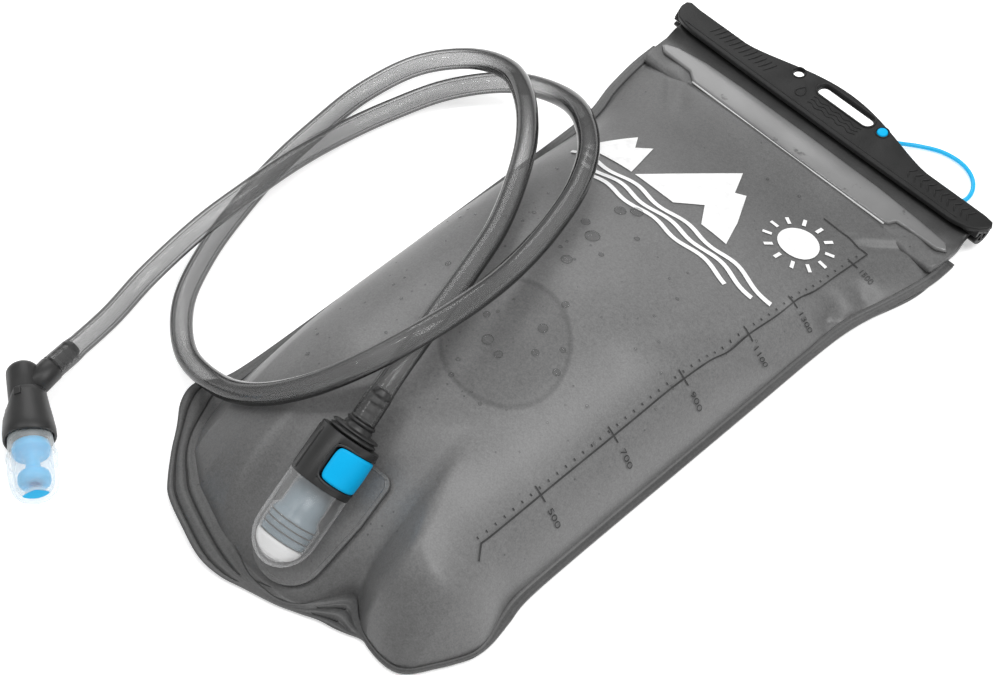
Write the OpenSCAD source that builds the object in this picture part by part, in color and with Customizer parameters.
// Hydration bladder: a welded film bag with a slide closure, a quick-release drink
// port, a drink tube and a twist-lock bite valve. Millimetres, +Z up.
// The origin is on the flat underside, in the middle of the bag's width.
// +Y runs from the port end to the closure, +X along the slide bar.

/* [Bag] */
// Half width of the filled bag at its side seams
bag_half_w = 75; // [72:0.5:76]
// Half width of the flat mouth
mouth_half_w = 84; // [82:0.5:85]
// Height of the filled bag
bag_h = 45; // [43:0.5:46]
// Thickness of one film
film_t = 0.8; // [0.7:0.05:0.9]
// Width of the side seam
seam_w = 3; // [2.5:0.25:3.5]
// Width of the stiff seam across the bottom
bottom_seam_w = 13; // [12:0.5:13.5]
// Thickness of the bottom seam
bottom_seam_t = 1.6; // [1.4:0.1:2]

/* [Closure] */
// Length of the slide bar
bar_l = 176; // [175:0.5:177]
// Outer radius of the bar's channel
channel_r = 5.8; // [5.6:0.1:6]
// Inner radius of the bar's channel
cavity_r = 3.8; // [3.7:0.05:3.9]
// Radius of the rolled lip that the channel holds
roll_r = 3.3; // [3.2:0.05:3.4]
// Thickness of the bar's top plate
plate_t = 2.8; // [2.4:0.1:3]
// Radius of the tie holes in the bar
tie_hole_r = 2.5; // [2.3:0.05:2.6]
// Length of the hanging slot
slot_l = 30; // [26:1:31]
// Width of the hanging slot
slot_w = 6; // [5.5:0.1:6.2]

/* [Port] */
// Outer radius of the clear port body
port_r = 12.6; // [12.4:0.1:12.8]
// Radius of the bore that takes the plug
port_bore_r = 6.6; // [6.55:0.01:6.65]
// Length of the latch housing
housing_l = 21; // [20:0.5:21.5]
// Travel of the release button
button_travel = 1.8; // [1.5:0.1:1.9]
// Tilt of the port above the floor
port_tilt = 30; // [29:0.5:31]

/* [Drink tube] */
// Outer diameter of the drink tube
hose_d = 9.5; // [9:0.1:9.5]
// Diameter of the tether cord
tether_d = 2; // [1.6:0.1:2]

/* [Bite valve] */
// Outer radius of the elbow
elbow_r = 6.8; // [6.5:0.1:7]
// Outer radius of the twist-lock collar
collar_r = 10.6; // [10.2:0.1:10.8]
// Outer radius of the bite sheath
sheath_r = 10.2; // [9.8:0.1:10.4]

/* [Hidden] */
$fn = 48;

film_color = [0.45, 0.45, 0.44];
black = [0.13, 0.13, 0.14];
blue = [0.0, 0.64, 0.9];
clear = [0.8, 0.84, 0.86, 0.6];
smoke = [0.35, 0.36, 0.37, 0.7];
gap = 0.1;

// ---- curves and sweeps ----
function clamp01(t) = max(0, min(1, t));
function smooth(t) = let (c = clamp01(t)) c * c * (3 - 2 * c);
function unit(v) = v / norm(v);
function catmull(p, i, t) =
    let (n = len(p) - 1, a = p[max(i - 1, 0)], b = p[i], c = p[min(i + 1, n)], d = p[min(i + 2, n)])
    0.5 * (2 * b + (c - a) * t + (2 * a - 5 * b + 4 * c - d) * t * t
           + (3 * b - a - 3 * c + d) * t * t * t);
function refine(p, k) =
    concat([for (i = [0:len(p) - 2], j = [0:k - 1]) catmull(p, i, j / k)], [p[len(p) - 1]]);
function tangent(p, i) = unit(p[min(i + 1, len(p) - 1)] - p[max(i - 1, 0)]);
function ring(p, i, r, sides) =
    let (t = tangent(p, i), s = unit(cross(t, abs(t[2]) > 0.95 ? [0, 1, 0] : [0, 0, 1])),
         u = cross(s, t))
    [for (k = [0:sides - 1]) p[i] + r * (cos(360 * k / sides) * s + sin(360 * k / sides) * u)];

// A round tube along a list of points.
module sweep_tube(p, r, sides) {
    n = len(p);
    points = [for (i = [0:n - 1]) each ring(p, i, r, sides)];
    walls = [for (i = [0:n - 2], k = [0:sides - 1])
        let (a = i * sides + k, b = i * sides + (k + 1) % sides)
        each [[a, b, b + sides], [a, b + sides, a + sides]]];
    caps = [[for (k = [sides - 1:-1:0]) k], [for (k = [0:sides - 1]) (n - 1) * sides + k]];
    polyhedron(points, concat(walls, caps), convexity = 10);
}

// ---- the bag's outline ----
mouth_y = 164;
lip_end_y = 181;
side_flare = mouth_half_w - bag_half_w;
lobe_bulge = 11;
function left_x(y) = -bag_half_w - side_flare * smooth((y - 115) / 45);
function right_x(y) = bag_half_w + side_flare * smooth((y - 110) / 45)
    + lobe_bulge * smooth(1 - abs(y + 97) / 28);
// The bottom edge: a chamfered curve, a pinch, and a bulging lobe on the right.
bottom_edge = [[-90, -82], [-75, -89], [-71, -97], [-66, -110], [-60, -118], [-46, -126], [-20, -134],
               [0, -138], [14, -137], [24, -131], [33, -117], [40, -121], [48, -126],
               [60, -129], [70, -126], [78, -115], [84, -102], [92, -92]];
function bottom_y(x) = lookup(x, bottom_edge);
lobe_d = 30;
bottom_d = 80;
function rise_d(x) = bottom_d - (bottom_d - lobe_d) * smooth((x - 25) / 20);
function height(y) = bag_h * (1 - 0.82 * smooth((y - 20) / (mouth_y - 14)) - 0.06 * smooth((-60 - y) / 60));

// The port's own frame: its origin is on the port's axis at the housing's open face.
port_pos = [1, -84.5, 45.5];
port_yaw = 5;
port_axis = [-sin(port_yaw) * cos(port_tilt), cos(port_yaw) * cos(port_tilt), sin(port_tilt)];
port_up = [sin(port_yaw) * sin(port_tilt), -cos(port_yaw) * sin(port_tilt), cos(port_tilt)];
port_side = [cos(port_yaw), sin(port_yaw), 0];
plate_drop = 12;
plate_h = 2;
flat_half_w = 22;
function under_plate(x, y) =
    let (q = port_pos - (plate_drop + 0.5) * port_up,
         across = [x - port_pos[0], y - port_pos[1], 0] * port_side)
    q[2] - (port_up[0] * (x - q[0]) + port_up[1] * (y - q[1])) / port_up[2]
    + 0.03 * pow(max(0, abs(across) - flat_half_w), 2);
function pinch(x, y) = 14 * exp(-pow((x - 34) / 7, 2)) * smooth((-88 - y) / 30);
film_edge_z = film_t + gap;
function film_z(x, y, u) =
    let (d = y - bottom_y(x),
         along = pow(1 - pow(1 - clamp01(d / rise_d(x)), 1.8), 0.75),
         around = pow(max(0, 1 - pow(abs(u), 2.8)), 0.6),
         pillow = height(y) * along * around - pinch(x, y) * around)
    max(film_edge_z + film_t, min(pillow, under_plate(x, y)));

// A grid over the bag, closer together near the edges where the film is steep.
grid_u = 26;
grid_v = 30;
function edge_bias(t) = t - 0.11 * sin(360 * t);
function grid_xy(i, j) =
    let (s = edge_bias(i / grid_u), t = pow(j / grid_v, 1.25),
         x0 = left_x(-60) + s * (right_x(-60) - left_x(-60)),
         y0 = bottom_y(x0) + 0.6 + t * (mouth_y - bottom_y(x0) - 0.6),
         x = left_x(y0) + seam_inset + s * (right_x(y0) - left_x(y0) - 2 * seam_inset))
    [x, max(y0, bottom_y(x) + 0.6)];
seam_inset = 0.8;
function grid_top(i, j) =
    let (q = grid_xy(i, j), u = 2 * edge_bias(i / grid_u) - 1) [q[0], q[1], film_z(q[0], q[1], u)];

module front_film() {
    w = grid_u + 1;
    n = w * (grid_v + 1);
    top = [for (j = [0:grid_v], i = [0:grid_u]) grid_top(i, j)];
    low = [for (p = top) [p[0], p[1], max(film_edge_z, p[2] - film_t)]];
    up = [for (j = [0:grid_v - 1], i = [0:grid_u - 1]) let (a = j * w + i)
        each [[a, a + w + 1, a + 1], [a, a + w, a + w + 1]]];
    down = [for (f = up) [f[2] + n, f[1] + n, f[0] + n]];
    rim = concat([for (i = [0:grid_u]) i], [for (j = [1:grid_v]) j * w + grid_u],
                 [for (i = [grid_u - 1:-1:0]) grid_v * w + i], [for (j = [grid_v - 1:-1:1]) j * w]);
    side = [for (k = [0:len(rim) - 1]) let (a = rim[k], b = rim[(k + 1) % len(rim)])
        each [[a, b, b + n], [a, b + n, a + n]]];
    color(film_color) polyhedron(concat(top, low), concat(up, down, side), convexity = 10);
}

function outline(grow, bottom_grow) = concat(
    [for (y = [lip_end_y, 172]) [left_x(y) - grow, y]],
    [for (k = [0:24]) let (y = 160 - 10 * k) [left_x(y) - grow, y]],
    [for (x = [-71, -66, -60, -46, -20, 0, 14, 24, 33, 40, 48, 60, 70, 78, 83])
        [x - (x < 0 ? bottom_grow * 0.5 * pow(-x / 71, 3) : 0),
         bottom_y(x) - bottom_grow * (x < 30 ? 1 : 0.25)]],
    [for (k = [0:25]) let (y = -88 + 10 * k) [right_x(y) + grow, y]],
    [for (y = [172, lip_end_y]) [right_x(y) + grow, y]]);

// The underside lies flat on the floor.
module back_film() {
    color(film_color) linear_extrude(film_t) polygon(outline(seam_w, bottom_seam_w));
}

// The part of the outline on the stiff bottom seam, and the rest of the way round.
module bottom_zone() translate([-100, -160]) square([132, 64]);

module bottom_seam() {
    groove_w = 1.2;
    color(film_color) translate([0, 0, film_t]) difference() {
        linear_extrude(bottom_seam_t) intersection() {
            difference() {
                polygon(outline(seam_w, bottom_seam_w));
                polygon(outline(0, 0));
            }
            bottom_zone();
        }
        for (at = [0.36, 0.64])
            translate([0, 0, bottom_seam_t - 0.6]) linear_extrude(1) difference() {
                polygon(outline(seam_w * at, bottom_seam_w * at + groove_w));
                polygon(outline(seam_w * at - 0.4, bottom_seam_w * at));
                translate([-100, -104]) square([250, 400]);
            }
    }
}

module side_seams() {
    color(film_color) translate([0, 0, film_t]) linear_extrude(0.8) difference() {
        polygon(outline(seam_w, bottom_seam_w));
        polygon(outline(0, 0));
        bottom_zone();
        translate([-100, mouth_y]) square([200, 40]);
    }
}

// ---- the mouth, folded over and rolled round a rod ----
channel_y = 190;
channel_z = 8.8;
module along_x(l) {
    translate([-l / 2, 0, 0]) rotate([90, 0, 90]) linear_extrude(l) children();
}
neck_t = 1.8;
rod_r = 1.5;
module rolled_lip() {
    fold_t = 4.6;
    color(film_color) along_x(2 * mouth_half_w) difference() {
        union() {
            polygon([[mouth_y + 0.4, film_edge_z], [lip_end_y - 2, film_edge_z],
                     [lip_end_y + 1.5, channel_z - neck_t / 2], [channel_y, channel_z - neck_t / 2],
                     [channel_y, channel_z + neck_t / 2], [lip_end_y, channel_z + neck_t / 2],
                     [lip_end_y - 3, film_edge_z + fold_t], [mouth_y + 0.4, film_edge_z + fold_t]]);
            translate([channel_y, channel_z]) circle(roll_r);
        }
        translate([channel_y, channel_z]) circle(rod_r + 0.05);
    }
}

module lip_rod() {
    color("gainsboro") translate([0, channel_y, channel_z]) rotate([0, 90, 0])
        cylinder(r = rod_r, h = 2 * mouth_half_w - 1, center = true);
}

// The pale stiff band across the fold, stepped narrower towards its ends.
module seal_strip() {
    strip_z = film_edge_z + 4.6 + gap;
    color([0.72, 0.73, 0.74]) translate([0, 0, strip_z]) linear_extrude(0.7) polygon([
        [-80, 170], [-62, 170], [-56, 165], [56, 165], [62, 170], [80, 170],
        [80, 176], [-80, 176]]);
}

// ---- slide closure bar ----
bar_front = 182;
bar_rear = 194;
bar_tab = 10.5;
tab_half = 52;
slot_x = 3;
hang_y = 197.8;
tie_hole_y = 197.5;
tether_x = 24;
bar_top = channel_z + channel_r;
function bar_rear_y(x) = bar_rear + bar_tab * pow(cos(90 * min(1, abs(x) / tab_half)), 1.4);
module bar_outline() {
    polygon(concat(
        [[-bar_l / 2 + 14, bar_front], [bar_l / 2 - 14, bar_front], [bar_l / 2 - 5, bar_front + 1.5],
         [bar_l / 2 + 1.5, bar_front + 7], [bar_l / 2, bar_rear - 0.5]],
        [for (k = [0:26]) let (x = tab_half - 4 * k) [x, bar_rear_y(x)]],
        [[-bar_l / 2 + 3, bar_rear + 1], [-bar_l / 2, bar_rear], [-bar_l / 2, bar_front + 8],
         [-bar_l / 2 + 4, bar_front + 4]]));
}

// Raised ribs on the bar's top: slanting grip lines on the left, chevrons on the right.
module grip_ribs() {
    rib_h = 0.4;
    rib_w = 0.8;
    line_l = 7;
    arm_l = 3.6;
    for (k = [0:11])
        translate([-68 + 2.9 * k, bar_front + 5, bar_top - gap]) rotate([0, 0, -20])
            cube([rib_w, line_l, rib_h + gap]);
    for (k = [0:9], s = [-1, 1])
        translate([46 + 3.6 * k, channel_y - 1, bar_top - gap]) rotate([0, 0, s * 35])
            translate([-rib_w / 2, s > 0 ? -arm_l : 0, 0]) cube([rib_w, arm_l, rib_h + gap]);
}

module slide_bar() {
    slot_open = neck_t + 1;
    channel_l = bar_l - 2;
    stop_l = 2;
    color(black) difference() {
        union() {
            translate([0, 0, bar_top - plate_t]) linear_extrude(plate_t) bar_outline();
            along_x(channel_l) translate([channel_y, channel_z]) circle(channel_r);
            grip_ribs();
        }
        translate([-channel_l / 2 - 5, channel_y, channel_z]) rotate([0, 90, 0])
            cylinder(r = cavity_r, h = channel_l - stop_l + 5);
        translate([-channel_l / 2 - 5, channel_y - 12, channel_z - slot_open / 2])
            cube([channel_l - stop_l + 5, 12, slot_open]);
        translate([slot_x, hang_y, 2]) linear_extrude(bar_top) {
            square([slot_l - slot_w, slot_w], center = true);
            for (s = [-1, 1]) translate([s * (slot_l - slot_w) / 2, 0]) circle(slot_w / 2);
        }
        for (s = [-1, 1])
            translate([s * tether_x, tie_hole_y, bar_top - plate_t - 0.02])
                cylinder(r = tie_hole_r, h = plate_t + 1);
        translate([tether_x, tie_hole_y, 2])
            cylinder(r = tie_hole_r + 0.55, h = bar_top - plate_t - 2);
    }
}

module tether_plug() {
    color(blue) translate([tether_x, tie_hole_y, bar_top - plate_t]) {
        translate([0, 0, -0.3]) cylinder(r = tie_hole_r - 0.05, h = plate_t + 0.6);
        translate([0, 0, -1.6]) cylinder(r = tie_hole_r + 0.3, h = 1.5);
    }
}

// The tether leaves the plug, loops behind the bar and comes back beneath it to an eye
// on the end of the bag. It stops just short of the eye's plate.
tether_route = [[24, 197.5, 10.2], [25, 201, 7.5], [28, 206, 4], [34, 213, 1.5], [43, 218, 1],
                [53, 219, 1], [61, 216, 1], [66, 210, 1], [66.5, 203, 1], [60, 197, 1],
                [50, 194, 1], [40, 193.5, 1], [36.7, 192.2, 1], [35.4, 188.9, 1],
                [36.7, 185.6, 1], [40, 184.3, 1], [50, 184.3, 1], [60, 184.6, 1], [67.4, 185, 1.2]];
module tether_cord() {
    color(blue) sweep_tube(refine(tether_route, 3), tether_d / 2, 8);
}

module tether_anchor() {
    color(film_color) translate([68, lip_end_y + gap, 0]) difference() {
        cube([10, 7, 1.6]);
        translate([5, 3.8, -1]) cylinder(r = 1.4, h = 4);
    }
}

// ---- drink port ----
module in_port() {
    translate(port_pos) rotate([0, 0, port_yaw]) rotate([port_tilt, 0, 0]) children();
}
// A solid of revolution about the port's axis, drawn as [radius, distance along the axis].
module turned(profile) {
    rotate([-90, 0, 0]) rotate_extrude() polygon(profile);
}
body_l = 36;
dome_y = -(housing_l + body_l);
body_wall = 2;
dome_l = 15;
function dome_profile(r, y_end, y_start) = concat(
    [for (k = [0:8]) [r * sin(90 * k / 8), y_start - (y_start - y_end) * cos(90 * k / 8)]]);

module port_plate() {
    color(film_color) in_port() translate([0, 0, -plate_drop]) linear_extrude(plate_h)
        polygon(concat(
            [for (a = [0:15:90]) [15.5 + 4.5 * cos(a), -9 + 4.5 * sin(a)]],
            [for (a = [90:15:180]) [-15.5 + 4.5 * cos(a), -9 + 4.5 * sin(a)]],
            [for (a = [185:10:355]) [15.8 * cos(a), -46.5 + 15 * sin(a)]]));
}

module port_body() {
    color(clear) in_port() difference() {
        turned(concat(dome_profile(port_r, dome_y, dome_y + dome_l),
            [[port_r, -housing_l - gap], [0, -housing_l - gap]]));
        turned(concat(dome_profile(port_r - body_wall, dome_y + body_wall, dome_y + dome_l),
            [[port_r - body_wall, -34], [0, -34]]));
        rotate([-90, 0, 0]) translate([0, 0, -36]) cylinder(r = port_bore_r, h = 36);
        translate([-20, -80, -plate_drop - 20]) cube([40, 80, 20 + plate_h + gap / 2]);
    }
}

// A thin annular seat near the inner end of the bore.
seat_y = -27;
module valve_seat() {
    color("silver") in_port() translate([0, seat_y, 0]) rotate([90, 0, 0]) difference() {
        cylinder(r = port_bore_r - 0.02, h = 1.6);
        translate([0, 0, -1]) cylinder(r = 4.2, h = 4);
    }
}

poppet_y = -32;
poppet_lift = 3;
module valve_poppet() {
    color("silver") in_port() rotate([90, 0, 0]) {
        translate([0, 0, -poppet_y]) cylinder(r = 5.4, h = 1.6);
        translate([0, 0, -poppet_y + 1.5]) cylinder(r = 2, h = 7);
    }
}

module valve_spring() {
    turns = 4;
    from_y = -35.2;
    to_y = -50;
    steps = 12;
    coil_r = 3.6;
    path = [for (k = [0:turns * steps])
        [coil_r * cos(360 * k / steps), from_y + (to_y - from_y) * k / (turns * steps),
         coil_r * sin(360 * k / steps)]];
    color("silver") in_port() sweep_tube(path, 0.4, 6);
}

// The latch housing: round, flat underneath, with a pocket for the button.
button_x = 3.2;
button_z = -7.2;
button_y = -17.8;
button_l = 14.5;
button_in_r = 9.6;
pocket_gap = 0.35;
pocket_in_r = 7.4;
module housing_block(l) {
    rotate([90, 0, 0]) linear_extrude(l) intersection() {
        circle(port_r);
        translate([-20, -plate_drop + plate_h + gap / 2]) square([40, 40]);
    }
}
// A length of the housing's right shoulder, from an inner radius outwards.
module shoulder(from_x, from_y, from_z, l, in_r) {
    difference() {
        translate([from_x, from_y, from_z]) cube([20, l, 24]);
        rotate([-90, 0, 0]) translate([0, 0, -40]) cylinder(r = in_r, h = 80);
    }
}
latch_y = -11;
latch_t = 2;
module latch_housing() {
    slide_gap = 0.3;
    slide_half_w = 9.3;
    slide_low = -9.7;
    slide_high = 7.6;
    color(black) in_port() difference() {
        housing_block(housing_l);
        rotate([90, 0, 0]) translate([0, 0, -1]) cylinder(r = port_bore_r, h = housing_l + 2);
        shoulder(button_x - pocket_gap, button_y - pocket_gap, button_z - button_travel - pocket_gap,
            button_l + 2 * pocket_gap, pocket_in_r);
        translate([-slide_half_w, latch_y - latch_t / 2 - slide_gap, slide_low])
            cube([2 * slide_half_w, latch_t + 2 * slide_gap, slide_high - slide_low]);
    }
}

// The button follows the housing's rounded shoulder.
module release_button() {
    color(blue) in_port() intersection() {
        housing_block(housing_l);
        shoulder(button_x, button_y, button_z, button_l, button_in_r);
    }
}

// A flat plate round the plug's groove, open at the top, that the button pushes down.
module latch_slide() {
    slide_w = 17.6;
    arm_top = 5.2;
    opening_r = plug_r + 0.65;
    color("dimgray") in_port() translate([0, latch_y + latch_t / 2, 0]) rotate([90, 0, 0])
        linear_extrude(latch_t) difference() {
            intersection() {
                square([slide_w, 15.2], center = true);
                circle(button_in_r - gap);
            }
            circle(opening_r);
            translate([-opening_r, 0]) square([2 * opening_r, 10]);
            translate([-slide_w, arm_top]) square([slide_w, 5]);
        }
}

module button_spring() {
    turns = 3;
    steps = 10;
    from_z = -9.5;
    to_z = -7.9;
    coil_r = 0.7;
    path = [for (k = [0:turns * steps])
        [coil_r * cos(360 * k / steps), latch_y + coil_r * sin(360 * k / steps),
         from_z + (to_z - from_z) * k / (turns * steps)]];
    color("silver") in_port() sweep_tube(path, 0.15, 6);
}

// ---- drink tube ----
plug_r = 6;
groove_r = 5.4;
ring_ys = [-15.5, -19.5];
flange_r = 10;
flange_t = 3;
barb_end = 22;
module tube_plug() {
    color(black) in_port() difference() {
        turned([[2.6, -31.5], [3.7, -31.5], [3.7, -25], [plug_r, -24], [plug_r, ring_ys[1] - 1.1],
            [groove_r - 0.4, ring_ys[1] - 1.1], [groove_r - 0.4, ring_ys[1] + 1.1],
            [plug_r, ring_ys[1] + 1.1], [plug_r, ring_ys[0] - 1.1],
            [groove_r - 0.4, ring_ys[0] - 1.1], [groove_r - 0.4, ring_ys[0] + 1.1],
            [plug_r, ring_ys[0] + 1.1], [plug_r, latch_y - 1.4], [groove_r, latch_y - 1.4],
            [groove_r, latch_y + 1.4], [plug_r, latch_y + 1.4], [plug_r, 0.4],
            [flange_r, 0.4], [flange_r, 0.4 + flange_t], [4.8, 0.4 + flange_t], [4.8, 7.5],
            [4, 7.5], [4, barb_end], [2.6, barb_end]]);
        translate([0, poppet_y + 0.5, 0]) cube([1.4, 2, 12], center = true);
    }
}

module plug_o_rings() {
    color("dimgray") in_port() for (y = ring_ys)
        rotate([-90, 0, 0]) translate([0, 0, y]) rotate_extrude() translate([5.75, 0]) circle(0.75);
}

// The tube rises out of the port, lies along the bag, drops to the floor on the left,
// loops round over the bag and its own first run, and comes back down to the bite valve.
hose_route = [[0.4, -78, 49.2], [-4, -55, 58], [-13, -28, 56], [-22, -2, 53.5],
              [-32, 23, 50.5], [-46, 47, 48], [-62, 68, 44], [-82, 86, 37.5], [-104, 98, 28],
              [-128, 98, 16.5], [-147, 83, 8.5], [-154, 57, 5], [-152, 29, 5], [-148, 2, 5],
              [-141, -24, 5.5], [-132, -50, 5], [-118, -74, 5], [-96, -90, 7.5], [-70, -94, 16.5],
              [-48, -92, 30.5], [-28, -83, 47], [-12, -68, 62.5], [-3, -45, 70], [-3, -18, 66],
              [-8, 8, 58], [-15, 34, 53], [-25, 60, 49], [-40, 82, 44], [-61, 98, 36],
              [-84, 105, 24.5], [-109, 101, 14], [-128, 83, 7.5], [-138, 58, 5], [-142, 32, 6.5],
              [-140, 5, 13], [-138, -22, 16], [-138, -47, 14.5], [-138, -76, 7.5], [-132, -102, 7],
              [-125.4, -134.3, 11]];
module hose() {
    color(smoke) sweep_tube(refine(hose_route, 2), hose_d / 2, 10);
}

// ---- bite valve, in its own frame along its axis ----
valve_pos = [-138, -140.6, 11];
valve_yaw = -31.9;
branch_at = 18.7;
branch_yaw = 133.3;
branch_l = 16.3;
module in_valve() {
    translate(valve_pos) rotate([0, 0, valve_yaw]) children();
}
module valve_turned(profile) {
    rotate([0, 90, 0]) rotate_extrude() polygon(profile);
}
core_at = 30;
module valve_elbow() {
    back = 3.5;
    color(black) in_valve() difference() {
        union() {
            valve_turned([[0, back], [4.6, back], [elbow_r, back + 2.2], [elbow_r, core_at], [0, core_at]]);
            translate([branch_at, 0, 0]) rotate([0, 0, branch_yaw]) rotate([0, 90, 0]) {
                cylinder(r = 5.4, h = branch_l);
                cylinder(r = 3.9, h = branch_l + 13);
            }
        }
        rotate([0, 90, 0]) translate([0, 0, 8]) cylinder(r = 4.4, h = 40);
        translate([branch_at, 0, 0]) rotate([0, 0, branch_yaw]) rotate([0, 90, 0])
            cylinder(r = 2.6, h = 60);
    }
}

module elbow_o_ring() {
    color("dimgray") in_valve() rotate([0, 90, 0]) translate([0, 0, 27]) rotate_extrude()
        translate([elbow_r + 0.3, 0]) circle(0.45);
}

// The spool that the sheath closes on: a stem with two discs and a mouth.
module valve_core() {
    color(blue) in_valve() valve_turned([[2.4, 20], [4.35, 20], [4.35, core_at + 0.2], [7.2, core_at + 0.2],
        [7.2, 42], [5.6, 42], [5.6, 45.5], [2.9, 46.5], [2.9, 53], [6.4, 56], [6.4, 60.5], [2.4, 61.5]]);
}

module lock_collar() {
    color(black) in_valve() difference() {
        valve_turned([[7.6, 20], [8.6, 20], [9.2, 26], [collar_r, 36], [collar_r, 41], [9.4, 41], [9.4, 39],
            [7.6, 39]]);
        for (s = [-1, 1]) translate([21, 0, s * 9]) cube([4, 3, 6], center = true);
    }
}

module bite_sheath() {
    color([0.85, 0.88, 0.9, 0.6]) in_valve() valve_turned([
        [8, 39.2], [8.8, 39.2], [9.2, 44], [sheath_r, 49], [sheath_r, 57], [9.6, 62.5], [8.4, 65],
        [2, 66], [2, 64.5], [7, 63.2], [7.9, 60], [8, 57]]);
}

back_film();
front_film();
bottom_seam();
side_seams();
rolled_lip();
lip_rod();
seal_strip();
tether_anchor();
port_plate();
port_body();
valve_seat();
valve_spring();
latch_housing();
button_spring();
valve_poppet();
release_button();
latch_slide();
tube_plug();
plug_o_rings();
hose();
valve_elbow();
elbow_o_ring();
valve_core();
lock_collar();
bite_sheath();
slide_bar();
tether_plug();
tether_cord();
